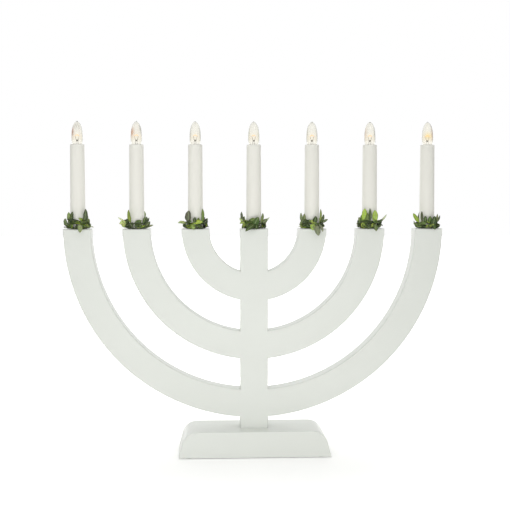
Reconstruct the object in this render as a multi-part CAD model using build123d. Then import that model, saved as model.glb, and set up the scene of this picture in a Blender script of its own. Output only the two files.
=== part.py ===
"""Seven-light electric candelabra: three nested wooden half rings and a stem on a block base.

Millimetres, +Z up, front is -Y. The origin is the centre of the base, on the table.
Lamps are numbered 1 to 7 from left to right.
"""
from build123d import *
import math
import os
import random

os.makedirs("parts", exist_ok=True)

# ---- frame: stem and half rings, cut from one board thickness ----
candle_pitch = 70.0
ring_names = ["inner", "middle", "outer"]
arm_width = 33.0
board_depth = 25.0
frame_top = 271.0
edge_round = 1.2
joint_proud = 0.1

# ---- base ----
pad_height = 1.0
pad_radius = 7.0
pad_inset_x = 12.0
pad_inset_y = 10.0
base_length = 182.0
base_depth = 76.0
base_top = 31.0
end_lean = 0.27
face_lean = 0.10
shoulder_radius = 18.0
base_round = 1.0
mortise_depth = 8.0
cavity_length = 110.0
cavity_width = 40.0
cavity_depth = 15.0
plate_lip = 11.0
plate_lip_side = 10.0
plate_thickness = 3.0

# ---- joints and fixings ----
wood_fit = 0.1
dowel_radius = 3.0
dowel_in_stem = 12.0
dowel_in_arm = 13.0
dowel_spacing = 14.0
dowel_setback = 6.0
dowel_end_gap = 0.4
stem_screw_radius = 2.0
stem_screw_length = 32.0
stem_screw_head = 3.5
stem_screw_head_height = 2.6
stem_screw_spacing = 23.0
cover_screw_radius = 1.5
cover_screw_length = 12.0
cover_screw_head = 3.0
cover_screw_head_height = 2.0
cross_width = 0.8
cross_depth = 0.8

# ---- wiring and its groove, closed by glued strips ----
wire_radius = 1.0
wire_offset = 1.6
wire_plane = 1.5
wire_bend = 3.0
entry_bend = 12.0
entry_depth = 35.0
groove_width = 8.0
stem_groove_width = 10.0
strip_ledge = 2.0
strip_thickness = 3.0
wire_hole_radius = 4.0
block_width = 15.0
block_depth = 9.0
block_height = 10.0
block_bend = 4.0

# ---- cord gland in the back of the base ----
gland_height = 12.0
gland_bore = 3.1
gland_radius = 4.0
gland_flange = 5.0
gland_flange_thickness = 1.8
gland_sink = 2.0

# ---- lamp holder ----
spigot_radius = 5.95
spigot_length = 20.0
bore_fit = 0.05
wire_pocket = 8.0
flange_radius = 7.4
flange_thickness = 2.0
post_radius = 5.5
holder_bore = 4.0
head_radius = 7.0
head_height = 16.5
head_cone = 3.0
socket_floor = 82.0
floor_thickness = 2.0
lug_radius = 0.6
lug_drop = 1.0
lug_fit = 0.05
tab_thickness = 0.4
tab_width = 1.4
shell_radius = 5.25
shell_wall = 0.4
shell_length = 12.0
shell_fit = 0.05
contact_radius = 1.0
contact_height = 1.3

# ---- E10 bulb ----
button_radius = 1.5
button_height = 0.8
insulator_radius = 4.0
insulator_height = 1.3
contact_gap = 0.1
cap_radius = 4.25
cap_wall = 0.3
cap_length = 9.5
cap_rim_radius = 4.7
cap_rim_height = 0.6
thread_pitch = 1.814
thread_turns = 4.0
thread_rib = 0.5
thread_start = 1.2
neck_radius = 3.8
neck_overlap = 6.0
glass_radius = 6.8
glass_wall = 0.6
glass_shoulder = 9.0
glass_widest = 12.0
glass_upper_radius = 6.0
glass_upper_height = 23.6
glass_crown_radius = 3.7
glass_crown_height = 29.9
glass_length = 33.3
glass_tip_wall = 1.0
glass_tip_slope = 0.7
lead_radius = 0.3
lead_spacing = 4.6
bead_height = 10.2
bead_radius = 0.9
filament_height = 15.5
mount_foot_radius = 3.7
mount_foot_height = 1.0
mount_foot_lift = 1.0

# ---- candle sleeve ----
sleeve_base_radius = 9.1
sleeve_top_radius = 8.5
sleeve_wall = 1.2
sleeve_top = 100.5
seat_gap = 0.3
sleeve_round = 0.9

# ---- leaf rings: two twigs with leaves ----
twig_radius = 0.9
twig_ring_radius = 11.3
twig_step = 5.3
twig_posts = 5
twig_post_width = 1.08
ring_turn = 10.0
leaf_thickness = 0.6
leaf_root = 0.5
stalk_width = 1.0
stalk_share = 0.12
leaf_outline = [(0.3, 0.85), (0.5, 1.0), (0.75, 0.75)]
back_leaves = 9
back_reach = (13.5, 15.5)
back_heights = [5.0, 9.0, 14.0, 19.0]
side_heights = [4.0, 5.2, 7.0, 9.5]
side_turn = 38
back_widths = (3.6, 6.0)

base_floor = pad_height
stem_half = arm_width / 2
board_half = board_depth / 2
ring_radii = [candle_pitch * (i + 1) for i in range(len(ring_names))]
lamp_x = [candle_pitch * i for i in range(-len(ring_names), len(ring_names) + 1)]
stem_foot = base_top - mortise_depth
groove_top = frame_top - spigot_length
cavity_top = base_floor + cavity_depth
plate_half_x = cavity_length / 2 + plate_lip
plate_half_y = cavity_width / 2 + plate_lip_side
gland_spot_face = base_depth / 2 - gland_sink
wire_top = frame_top + socket_floor - floor_thickness - lug_drop
button_foot = frame_top + socket_floor + contact_height + contact_gap
cap_floor = button_foot + button_height + insulator_height
cap_top = cap_floor + cap_length


def rod(radius, z0, z1, x=0.0, y=0.0):
    """Upright cylinder from height z0 to z1."""
    return Pos(x, y, z0) * Cylinder(radius, z1 - z0, align=(Align.CENTER, Align.CENTER, Align.MIN))


def cone(r0, r1, z0, z1, x=0.0, y=0.0):
    """Upright cone frustum from height z0 to z1."""
    return Pos(x, y, z0) * Cone(r0, r1, z1 - z0, align=(Align.CENTER, Align.CENTER, Align.MIN))


def block(x0, x1, y0, y1, z0, z1):
    """Box between two corners."""
    return Pos(x0, y0, z0) * Box(x1 - x0, y1 - y0, z1 - z0, align=(Align.MIN, Align.MIN, Align.MIN))


def upright(face, y0, y1):
    """Extrude a face drawn in x and z, from depth y0 to y1."""
    return extrude(Plane.XZ.offset(-y1) * face, y1 - y0)


def half_ring(radius, width, top=frame_top):
    """Lower half of a flat ring about the frame's centre, cut off level at top."""
    ring = Circle(radius + width / 2) - Circle(radius - width / 2)
    reach = radius + width
    below = Pos(0, top - reach) * Rectangle(2 * reach, 2 * reach)
    return (Pos(0, frame_top) * ring) & below


def strip_face(width, z0, z1):
    """Upright rectangle centred on the stem."""
    return Pos(0, (z0 + z1) / 2) * Rectangle(width, z1 - z0)


def save(name, *solids):
    """Write one node, which may hold several separate solids."""
    bodies = [body for shape in solids for body in shape.solids()]
    export_step(bodies[0] if len(bodies) == 1 else Compound(children=bodies), f"parts/{name}.step")


def joint_height(radius):
    """Middle height of an arm's joint with the stem."""
    low = math.sqrt((radius + arm_width / 2) ** 2 - stem_half ** 2)
    high = math.sqrt((radius - arm_width / 2) ** 2 - stem_half ** 2)
    return frame_top - (low + high) / 2


def dowel(side, height, fit=0.0):
    """Dowel across an arm's joint, or its hole when given a fit."""
    length = dowel_in_stem + dowel_in_arm + (2 * dowel_end_gap if fit else 0)
    middle = stem_half + (dowel_in_arm - dowel_in_stem) / 2
    turned = Rot(0, 90, 0) * Cylinder(dowel_radius + fit, length)
    return Pos(side * middle, -dowel_setback, height) * turned


def dowel_places():
    """Side and height of each dowel."""
    for radius in ring_radii:
        for side in (-1, 1):
            for step in (-1, 1):
                yield side, joint_height(radius) + step * dowel_spacing / 2


def frame_board():
    """The whole frame before it is cut into stem and arms."""
    outline = strip_face(arm_width, stem_foot, frame_top)
    for radius in ring_radii:
        outline += half_ring(radius, arm_width)
    board = upright(outline, -board_half, board_half)
    faces = board.faces().sort_by(Axis.Y)
    board = fillet(faces[0].edges() + faces[-1].edges(), edge_round)
    groove = strip_face(stem_groove_width, stem_foot - 1, groove_top)
    rebate = strip_face(stem_groove_width + 2 * strip_ledge, base_top, groove_top + strip_ledge)
    for radius in ring_radii:
        groove += half_ring(radius, groove_width, groove_top)
        rebate += half_ring(radius, groove_width + 2 * strip_ledge, groove_top + strip_ledge)
    board -= upright(groove, 0, board_half + 1)
    board -= upright(rebate, board_half - strip_thickness, board_half + 1)
    for x in lamp_x:
        depth = spigot_length + wire_pocket
        board -= rod(spigot_radius + bore_fit, frame_top - depth, frame_top + 1, x)
    for side, height in dowel_places():
        board -= dowel(side, height, wood_fit)
    for side in (-1, 1):
        x = side * stem_screw_spacing / 2
        board -= rod(stem_screw_radius, stem_foot - 1, stem_foot + stem_screw_length, x)
    return board


def frame_pieces(board):
    """Cut the board beside the stem, whose joint faces stand just proud of its sides."""
    reach = ring_radii[-1] + arm_width
    cut = stem_half + joint_proud
    pieces = {"stem": board & block(-cut, cut, -reach, reach, 0, frame_top + 1)}
    for side, side_name in ((-1, "left"), (1, "right")):
        x0, x1 = sorted((side * cut, side * reach))
        arms = (board & block(x0, x1, -reach, reach, 0, frame_top + 1)).solids()
        arms = sorted(arms, key=lambda arm: arm.bounding_box().size.Z)
        for name, arm in zip(ring_names, arms):
            pieces[f"arm_{side_name}_{name}"] = arm
    return pieces


def channel_covers():
    """Strips that close the grooves, flush with the back of the frame."""
    stem_strip_half = stem_groove_width / 2 + strip_ledge - wood_fit
    back = (board_half - strip_thickness, board_half)
    top = groove_top + strip_ledge - wood_fit
    covers = {"stem": [upright(strip_face(2 * stem_strip_half, base_top + wood_fit, top), *back)]}
    width = groove_width + 2 * strip_ledge - 2 * wood_fit
    reach = ring_radii[-1] + arm_width
    for side, name in ((-1, "left"), (1, "right")):
        x0, x1 = sorted((side * (stem_strip_half + 2 * wood_fit), side * reach))
        keep = block(x0, x1, -reach, reach, 0, frame_top)
        covers[name] = [upright(half_ring(r, width, top), *back) & keep for r in ring_radii]
    return covers


def base_block():
    """Base with its mortise, wiring cavity, plate recess and screw holes."""
    half_foot = base_length / 2 - end_lean * base_floor
    half_top = base_length / 2 - end_lean * base_top
    foot_corners = [(-half_foot, base_floor), (half_foot, base_floor)]
    side_view = Polygon(*foot_corners, (half_top, base_top), (-half_top, base_top), align=None)
    shoulders = side_view.vertices().filter_by(lambda v: v.Y > base_floor + 1)
    side_view = fillet(shoulders, shoulder_radius)
    body = upright(side_view, -base_depth, base_depth)
    foot_y = base_depth / 2 - face_lean * base_floor
    top_y = base_depth / 2 - face_lean * base_top
    corners = [(-foot_y, base_floor), (foot_y, base_floor), (top_y, base_top), (-top_y, base_top)]
    body &= extrude(Plane.YZ * Polygon(*corners, align=None), base_length, both=True)
    faces = body.faces().sort_by(Axis.Y)
    rim = faces[0].edges() + faces[-1].edges()
    rim = rim.filter_by(lambda e: e.center().Z > base_floor + 1)
    body = fillet(rim, base_round)
    mortise_x = stem_half + wood_fit
    mortise_y = board_half + wood_fit
    body -= block(-mortise_x, mortise_x, -mortise_y, mortise_y, stem_foot, base_top + 1)
    half_x, half_y = cavity_length / 2, cavity_width / 2
    body -= block(-half_x, half_x, -half_y, half_y, 0, cavity_top)
    recess_top = base_floor + plate_thickness
    body -= block(-plate_half_x, plate_half_x, -plate_half_y, plate_half_y, 0, recess_top)
    body -= rod(wire_hole_radius, cavity_top - 1, stem_foot + 1, 0, wire_plane)
    for side in (-1, 1):
        x = side * stem_screw_spacing / 2
        body -= rod(stem_screw_radius + wood_fit, cavity_top - 1, stem_foot + 1, x)
    for x, y in cover_screw_places():
        body -= rod(cover_screw_radius + bore_fit, 0, base_floor + cover_screw_length + 1, x, y)
    body -= lying_rod(gland_radius, half_y - 1, base_depth)
    body -= lying_rod(gland_flange + wood_fit, gland_spot_face, base_depth)
    return body


def lying_rod(radius, y0, y1):
    """Cylinder along the depth, at the gland's place."""
    turned = Rot(-90, 0, 0) * Cylinder(radius, y1 - y0, align=(Align.CENTER, Align.CENTER, Align.MIN))
    return Pos(0, y0, gland_height) * turned


def cover_screw_places():
    """Middle of the ledge that the cover plate is screwed to."""
    x = cavity_length / 2 + plate_lip / 2
    y = (cavity_width / 2 + plate_half_y) / 2
    return [(-x, -y), (x, -y), (-x, y), (x, y)]


def cover_plate():
    """Plate under the base, with countersunk holes."""
    x, y = plate_half_x - 2 * wood_fit, plate_half_y - 2 * wood_fit
    plate = block(-x, x, -y, y, base_floor, base_floor + plate_thickness)
    top = base_floor + plate_thickness + 1
    head, shank = cover_screw_head + wood_fit, cover_screw_radius + wood_fit
    for sx, sy in cover_screw_places():
        plate -= rod(shank, 0, top, sx, sy)
        plate -= cone(head, shank, base_floor, base_floor + cover_screw_head_height, sx, sy)
    return plate


def cross_slot(radius, z0, z1, x, y):
    """Cross recess in a screw head."""
    half = cross_width / 2
    slot = block(x - radius, x + radius, y - half, y + half, z0, z1)
    return slot + block(x - half, x + half, y - radius, y + radius, z0, z1)


def cover_screw(x, y):
    """Countersunk wood screw, flush with the cover plate."""
    sink = base_floor + cover_screw_head_height
    screw = cone(cover_screw_head, cover_screw_radius, base_floor, sink, x, y)
    screw += rod(cover_screw_radius, sink, base_floor + cover_screw_length, x, y)
    return screw - cross_slot(cover_screw_head / 2, 0, base_floor + cross_depth, x, y)


def stem_screw(side):
    """Pan-head screw from the cavity up into the stem."""
    x = side * stem_screw_spacing / 2
    head_low = cavity_top - stem_screw_head_height
    screw = rod(stem_screw_head, head_low, cavity_top, x)
    screw += rod(stem_screw_radius, cavity_top, cavity_top + stem_screw_length, x)
    return screw - cross_slot(stem_screw_head / 2, head_low - 1, head_low + cross_depth, x, 0)


def foot_pads():
    """Felt discs under the corners of the base."""
    x = base_length / 2 - pad_inset_x
    y = base_depth / 2 - pad_inset_y
    return [rod(pad_radius, 0, base_floor, sx * x, sy * y) for sx in (-1, 1) for sy in (-1, 1)]


def cord_gland():
    """Bush that the supply cord passes through, with its flange outside."""
    outer_end = gland_spot_face + gland_flange_thickness
    bush = lying_rod(gland_radius - bore_fit, cavity_width / 2, gland_spot_face)
    bush += lying_rod(gland_flange, gland_spot_face, outer_end)
    return bush - lying_rod(gland_bore, 0, outer_end + 1)


def terminal_block():
    """Two-pole block under the cavity's ceiling, in front of the wire hole."""
    back = wire_plane - block_bend
    low = cavity_top - block_height
    body = block(-block_width / 2, block_width / 2, back - block_depth, back, low, cavity_top)
    height = cavity_top - block_bend
    for side in (-1, 1):
        x = side * wire_offset
        hole = Rot(90, 0, 0) * Cylinder(wire_radius + bore_fit, block_depth)
        body -= Pos(x, back, height) * hole
        x, y = side * block_width / 4, back - block_depth / 2
        body -= rod(wire_radius, low - 1, low + cross_depth, x, y)
    return body


def xz(u, z, side):
    """Point in the plane of the wires."""
    return Vector(side * u, wire_plane, z)


def bend(centre, radius, start, end, side):
    """Arc in the plane of the wires, from the angle start to end (degrees, u to z)."""
    points = []
    for angle in (start, (start + end) / 2, end):
        u = centre[0] + radius * math.cos(math.radians(angle))
        points.append(xz(u, centre[1] + radius * math.sin(math.radians(angle)), side))
    return ThreePointArc(*points)


def lamp_entry(track, side):
    """From a lamp holder down onto a track, and the angle where the track is met."""
    meet = math.asin(entry_depth / track)
    corner = frame_top - track * math.tan(meet / 2)
    back_off = entry_bend * math.tan(meet / 2)
    centre = (track - entry_bend, corner + back_off)
    slope_end = (track - back_off * math.sin(meet), corner - back_off * math.cos(meet))
    joined = (track * math.cos(meet), frame_top - track * math.sin(meet))
    edges = [
        Line(xz(track, wire_top, side), xz(track, centre[1], side)),
        bend(centre, entry_bend, 0, -math.degrees(meet), side),
        Line(xz(*slope_end, side), xz(*joined, side)),
    ]
    return edges, -math.degrees(meet)


def stem_turn(track, upward, side):
    """Bend between a track and the stem's wire line, with its end on each."""
    reach = track - wire_bend if upward else track + wire_bend
    u = wire_offset + wire_bend
    centre = (u, frame_top - math.sqrt(reach ** 2 - u ** 2))
    direction = math.degrees(math.atan2(centre[1] - frame_top, u))
    if upward:
        return bend(centre, wire_bend, direction, -180, side), direction, centre[1]
    return bend(centre, wire_bend, direction + 180, 180, side), direction, centre[1]


def swept_wire(edges):
    """Insulated wire along tangent edges."""
    path = Wire(edges)
    start = path.position_at(0)
    section = Plane(origin=start, z_dir=path.tangent_at(0)) * Circle(wire_radius)
    return sweep(section, path)


def arm_run(track, upward, side):
    """Edges from a lamp holder along a track to the stem, and the height reached there."""
    edges, meet = lamp_entry(track, side)
    turn, direction, height = stem_turn(track, upward, side)
    edges.append(bend((0, frame_top), track, meet, direction, side))
    edges.append(turn)
    return edges, height


def side_wires(side):
    """The four wires of one side: supply to the outer lamp, then lamp to lamp."""
    edges, height = arm_run(ring_radii[-1] + wire_offset, False, side)
    bend_top = Vector(side * wire_offset, wire_plane, cavity_top)
    bend_low = Vector(side * wire_offset, wire_plane - block_bend, cavity_top - block_bend)
    edges.append(Line(xz(wire_offset, height, side), bend_top))
    inset = block_bend * (1 - math.cos(math.radians(45)))
    bend_mid = Vector(side * wire_offset, wire_plane - inset, cavity_top - block_bend + inset)
    edges.append(ThreePointArc(bend_top, bend_mid, bend_low))
    wires = [swept_wire(edges)]
    for i in range(len(ring_radii) - 1, 0, -1):
        low_edges, low = arm_run(ring_radii[i] - wire_offset, True, side)
        high_edges, high = arm_run(ring_radii[i - 1] + wire_offset, False, side)
        rise = Line(xz(wire_offset, low, side), xz(wire_offset, high, side))
        wires.append(swept_wire(low_edges + [rise] + high_edges[::-1]))
    edges, height = arm_run(ring_radii[0] - wire_offset, True, side)
    edges.append(Line(xz(wire_offset, height, side), xz(wire_offset, wire_top, side)))
    wires.append(swept_wire(edges))
    return wires


def lug_angle(side):
    """Direction of a wire's end from the lamp's axis, in degrees."""
    return math.degrees(math.atan2(wire_plane, side * wire_offset))


def lamp_holder(x):
    """Plastic post: spigot in the arm, flange, post and socket head."""
    floor = frame_top + socket_floor
    head_low = floor + shell_length + shell_fit - head_height
    holder = rod(spigot_radius, groove_top, frame_top)
    holder += rod(flange_radius, frame_top, frame_top + flange_thickness)
    holder += rod(post_radius, frame_top, head_low)
    holder += cone(post_radius, head_radius, head_low - head_cone, head_low)
    holder += rod(head_radius, head_low, head_low + head_height)
    holder -= rod(holder_bore, groove_top, floor - floor_thickness)
    holder -= rod(shell_radius + shell_fit, floor, floor + head_height)
    for side in (-1, 1):
        x_lug = side * wire_offset
        holder -= rod(lug_radius + lug_fit, floor - floor_thickness, floor, x_lug, wire_plane)
    return Pos(x, 0, 0) * holder


def lug(side):
    """Pin through the socket floor, down to a wire's end."""
    high = frame_top + socket_floor + tab_thickness
    return rod(lug_radius, wire_top, high, side * wire_offset, wire_plane)


def tab(side, r0, r1):
    """Flat strip on the socket floor, along the direction of a lug."""
    floor = frame_top + socket_floor
    strip = block(r0, r1, -tab_width / 2, tab_width / 2, floor, floor + tab_thickness)
    return Rot(0, 0, lug_angle(side)) * strip


def socket_shell(x):
    """Metal shell that the bulb's cap sits in, with its solder lug."""
    floor = frame_top + socket_floor
    inner = shell_radius - shell_wall
    reach = math.hypot(wire_offset, wire_plane)
    shell = rod(shell_radius, floor, floor + shell_length) - rod(inner, floor, floor + shell_length)
    shell += tab(1, reach - lug_radius, inner + shell_wall / 2)
    return Pos(x, 0, 0) * (shell + lug(1))


def centre_contact(x):
    """Centre contact of the socket, with its solder lug."""
    floor = frame_top + socket_floor
    reach = math.hypot(wire_offset, wire_plane)
    contact = rod(contact_radius, floor, floor + contact_height)
    contact += tab(-1, 0, reach + lug_radius)
    return Pos(x, 0, 0) * (contact + lug(-1))


def bulb_contact(x):
    """Solder button and insulator at the foot of the bulb."""
    low = cap_floor - insulator_height
    foot = rod(button_radius, button_foot, low)
    return Pos(x, 0, 0) * (foot + cone(button_radius, insulator_radius, low, cap_floor))


def bulb_cap(x):
    """Screw cap with a helical rib, rolled from thin brass."""
    cap = rod(cap_radius, cap_floor, cap_top)
    cap += rod(cap_rim_radius, cap_top - cap_rim_height, cap_top)
    helix = Helix(thread_pitch, thread_pitch * thread_turns, cap_radius)
    helix = Pos(0, 0, cap_floor + thread_start) * helix
    rib = Plane(origin=helix.position_at(0), z_dir=helix.tangent_at(0)) * Circle(thread_rib)
    cap += sweep(rib, helix, is_frenet=True)
    return Pos(x, 0, 0) * (cap - rod(cap_radius - cap_wall, cap_floor, cap_top))


def filament_mount(x):
    """Leads on a pressed foot, the bead that spaces them, and the filament."""
    foot = cap_floor + mount_foot_lift
    half = lead_spacing / 2
    mount = rod(mount_foot_radius, foot, foot + mount_foot_height)
    for side in (-1, 1):
        mount += rod(lead_radius, foot, cap_top + filament_height, side * half)
    across = Rot(0, 90, 0) * Cylinder(bead_radius, lead_spacing)
    mount += Pos(0, 0, cap_top + bead_height) * across
    across = Rot(0, 90, 0) * Cylinder(lead_radius, lead_spacing)
    mount += Pos(0, 0, cap_top + filament_height) * across
    return Pos(x, 0, 0) * mount


def glass_line(inset, tip):
    """Line of the glass from the foot of its neck to its tip, inset from the outer face."""
    waist = (neck_radius - inset, cap_top)
    widest = (glass_radius - inset, cap_top + glass_widest)
    upper = (glass_upper_radius - inset, cap_top + glass_upper_height)
    crown = (glass_crown_radius - inset, cap_top + glass_crown_height)
    return [
        Line((neck_radius - inset, cap_top - neck_overlap), waist),
        Spline(waist, widest, tangents=((0, 1), (0, 1))),
        Spline(widest, upper, crown, (0, tip), tangents=((0, 1), (-1, glass_tip_slope))),
    ]


def bulb_glass(x):
    """Clear candle-shaped bulb, open at its neck."""
    low, tip = cap_top - neck_overlap, cap_top + glass_length
    outer, inner = glass_line(0, tip), glass_line(glass_wall, tip - glass_tip_wall)
    neck_end = Line((neck_radius - glass_wall, low), (neck_radius, low))
    section = make_face(outer + inner + [neck_end, Line((0, tip - glass_tip_wall), (0, tip))])
    return Pos(x, 0, 0) * revolve(Plane.XZ * section, Axis.Z)


def candle_sleeve(x):
    """Tapered tube, open at both ends."""
    z0, z1 = frame_top + seat_gap, frame_top + sleeve_top
    sleeve = cone(sleeve_base_radius, sleeve_top_radius, z0, z1)
    sleeve = fillet(sleeve.edges().sort_by(Axis.Z)[-1], sleeve_round)
    sleeve -= cone(sleeve_base_radius - sleeve_wall, sleeve_top_radius - sleeve_wall, z0, z1)
    return Pos(x, 0, 0) * sleeve


# Each leaf: base angle on the ring (degrees, -90 is the front), twig (0 low, 1 high),
# tip from the candle's axis (right, back, up from the arm) and width.
front_leaves = [
    [
        (-128, 1, -4.8, -12.5, 20.8, 5.0), (-42, 1, 10.2, -11.5, 24.2, 6.2),
        (-50, 1, -12.0, -15.5, 12.0, 3.4), (-75, 1, 12.0, -11.0, 9.0, 5.0),
        (-125, 0, -4.0, -15.0, 4.6, 5.5), (-75, 1, 4.2, -17.8, -4.0, 6.0),
        (-40, 0, 19.5, -12.0, 1.9, 6.0), (-55, 0, 11.0, -14.5, 4.5, 5.5),
        (-160, 0, -14.0, -9.0, 13.0, 5.0), (-150, 0, -15.5, -11.0, 1.9, 4.5),
        (-100, 0, -2.0, -17.0, 1.9, 5.5), (-138, 1, -9.2, -11.8, 20.6, 4.8),
        (-138, 1, -1.0, -15.8, 8.0, 4.5),
    ],
    [
        (-125, 1, -8.9, -13.0, 23.3, 4.8), (-165, 1, -20.5, -7.5, 6.0, 6.0),
        (-175, 1, -22.5, -3.0, 13.8, 2.0), (-105, 1, 6.6, -15.8, 6.5, 7.0),
        (-140, 1, -3.5, -15.5, 2.2, 6.0), (-150, 0, -13.5, -12.8, 1.9, 2.4),
        (-48, 1, 10.3, -9.5, 14.8, 3.4), (-40, 0, 16.4, -10.5, 9.0, 5.5),
        (-55, 0, 13.4, -12.8, 1.9, 2.6), (-20, 0, 20.0, -6.0, 4.5, 3.0),
        (-70, 0, 2.0, -16.5, 1.9, 4.5), (-172, 0, -19.0, -6.0, 9.6, 4.6),
    ],
    [
        (-135, 1, -7.8, -11.5, 22.2, 7.5), (-160, 1, -20.8, -8.5, 7.0, 5.5),
        (-140, 0, -11.0, -15.0, 2.6, 4.0), (-95, 1, -0.8, -12.6, 14.2, 4.5),
        (-75, 1, 3.6, -12.4, 13.6, 3.2), (-112, 1, 8.4, -15.4, 8.5, 5.5),
        (-100, 1, -2.5, -14.9, -1.0, 5.0), (-60, 0, 6.0, -15.5, 2.2, 5.5),
        (-45, 1, 8.3, -10.5, 24.3, 3.8), (-30, 1, 14.0, -8.0, 11.0, 4.6),
        (-25, 0, 15.8, -9.5, 1.9, 3.6),
    ],
    [
        (-165, 1, -14.8, -5.0, 20.5, 5.2), (-170, 1, -17.2, -4.0, 13.0, 3.0),
        (-160, 1, -3.4, -15.4, 8.6, 2.6), (-130, 1, 1.0, -16.6, 12.6, 5.0),
        (-150, 1, -17.2, -10.0, 6.0, 6.0), (-72, 1, -10.8, -18.0, -2.8, 6.4),
        (-100, 0, 5.0, -14.5, 14.5, 8.0), (-80, 1, 2.5, -15.8, -0.6, 6.0),
        (-45, 1, 10.3, -9.8, 18.8, 3.6), (-30, 1, 16.0, -8.5, 12.0, 4.6),
        (-15, 1, 18.8, -4.0, 13.8, 2.6), (-45, 0, 10.4, -13.4, 1.9, 3.2),
    ],
    [
        (-142, 1, -9.8, -9.8, 18.3, 3.6), (-150, 0, -16.8, -9.0, 2.4, 3.2),
        (-160, 1, -15.5, -6.0, 4.0, 3.0), (-112, 1, -4.0, -13.0, 11.2, 4.6),
        (-80, 1, 3.4, -12.8, 15.2, 6.5), (-92, 1, -0.5, -17.2, -1.8, 6.4),
        (-78, 1, 6.0, -20.5, -8.2, 8.0), (-55, 1, 11.0, -19.8, -3.6, 4.5),
        (-42, 1, 9.6, -9.4, 23.6, 3.4), (-30, 1, 13.6, -7.5, 17.2, 3.4),
        (-18, 1, 19.0, -5.5, 11.2, 3.2), (-40, 0, 14.5, -12.0, 3.0, 4.5),
    ],
    [
        (-115, 1, -3.9, -12.8, 19.0, 4.4), (-130, 1, -7.2, -11.5, 24.4, 6.6),
        (-140, 1, -10.6, -9.5, 17.0, 4.6), (-95, 1, -1.2, -12.4, 24.6, 3.4),
        (-68, 1, 4.8, -12.0, 22.4, 6.8), (-160, 0, -17.0, -7.0, 2.6, 2.6),
        (-118, 0, -8.5, -14.5, 1.9, 3.6), (-85, 1, -4.4, -15.6, -0.8, 3.0),
        (-70, 1, 5.3, -18.0, -3.0, 6.2), (-40, 1, 14.6, -10.5, 3.0, 4.6),
        (-25, 1, 20.0, -6.0, 17.0, 2.2), (-75, 1, 8.5, -13.0, 8.0, 4.0),
        (-50, 1, -12.2, -16.0, 8.6, 3.2), (-165, 1, -13.0, -4.0, 14.0, 3.4),
        (-32, 1, 14.6, -8.4, 11.5, 3.2),
    ],
    [
        (-150, 1, -18.4, -9.0, 18.6, 4.6), (-140, 0, -12.8, -13.0, 2.2, 5.0),
        (-155, 0, -16.0, -8.0, 7.0, 3.2), (-128, 1, -8.2, -10.8, 21.0, 3.2),
        (-112, 1, -4.0, -13.0, 15.2, 4.6), (-112, 0, -6.2, -15.0, 1.9, 4.0),
        (-88, 1, 1.6, -13.2, 14.8, 4.8), (-70, 0, 6.8, -13.4, 15.4, 7.4),
        (-68, 1, 7.0, -15.6, -1.4, 5.4), (-45, 1, 11.0, -9.6, 17.6, 3.8),
        (-28, 1, 14.6, -6.8, 15.8, 2.8), (-35, 0, 14.4, -10.0, 4.4, 4.4),
        (-95, 0, 1.5, -16.5, 1.9, 4.0),
    ],
]


def twig_point(angle, twig):
    """Point on a twig ring, from the middle of the arm's top."""
    turn = math.radians(angle)
    height = seat_gap + twig_radius + twig * twig_step
    return Vector(twig_ring_radius * math.cos(turn), twig_ring_radius * math.sin(turn), height)


def back_leaf_list(number):
    """Leaves of the sides and back, scattered from a fixed seed."""
    scatter = random.Random(number)
    leaves = []
    for i in range(back_leaves):
        angle = 2 + 176 * i / (back_leaves - 1) + scatter.uniform(-6, 6)
        swing = math.radians(angle + scatter.uniform(-16, 16))
        reach = scatter.uniform(*back_reach)
        beside = min(angle, 180 - angle) < side_turn
        up = scatter.choice(side_heights if beside else back_heights) + scatter.uniform(-1, 2)
        right, back = reach * math.cos(swing), reach * math.sin(swing)
        leaves.append((angle, i % 2, right, back, up, scatter.uniform(*back_widths)))
    return leaves


def leaf(angle, twig, right, back, up, width):
    """Flat ovate leaf on a short stalk, from a twig to its tip."""
    root = twig_point(angle, twig)
    tip = Vector(right, back, up)
    along = (tip - root).normalized()
    outward = Vector(math.cos(math.radians(angle)), math.sin(math.radians(angle)), 0)
    steep = abs(along.Z)
    facing = outward * steep + Vector(0, 0, 1) * (1 - steep)
    face_dir = (facing - along * facing.dot(along)).normalized()
    length = (tip - root).length
    plane = Plane(origin=root - face_dir * (leaf_thickness / 2), x_dir=along, z_dir=face_dir)
    half_outline = [(-leaf_root, stalk_width / 2), (stalk_share * length, stalk_width / 2)]
    half_outline += [(share * length, part * width / 2) for share, part in leaf_outline]
    mirrored = [(u, -v) for u, v in reversed(half_outline)]
    outline = Polygon(*half_outline, (length, 0), *mirrored, align=None)
    return extrude(plane * outline, leaf_thickness)


def hoop(twig):
    """Flat hoop of twisted twig round the candle."""
    middle = twig_point(0, twig).Z
    z0, z1 = middle - twig_radius, middle + twig_radius
    return rod(twig_ring_radius + twig_radius, z0, z1) - rod(twig_ring_radius - twig_radius, z0, z1)


def leaf_ring(number, x):
    """Two hoops held apart by short posts, with the leaves grown on them."""
    pieces = [hoop(1)]
    half = twig_post_width / 2
    for i in range(twig_posts):
        foot = twig_point(360 * i / twig_posts + ring_turn * number, 0)
        across = (foot.X - half, foot.X + half, foot.Y - half, foot.Y + half)
        pieces.append(block(*across, foot.Z, foot.Z + twig_step))
    pieces += [leaf(*row) for row in front_leaves[number - 1] + back_leaf_list(number)]
    return Pos(x, 0, frame_top) * (hoop(0) + pieces)


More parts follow.
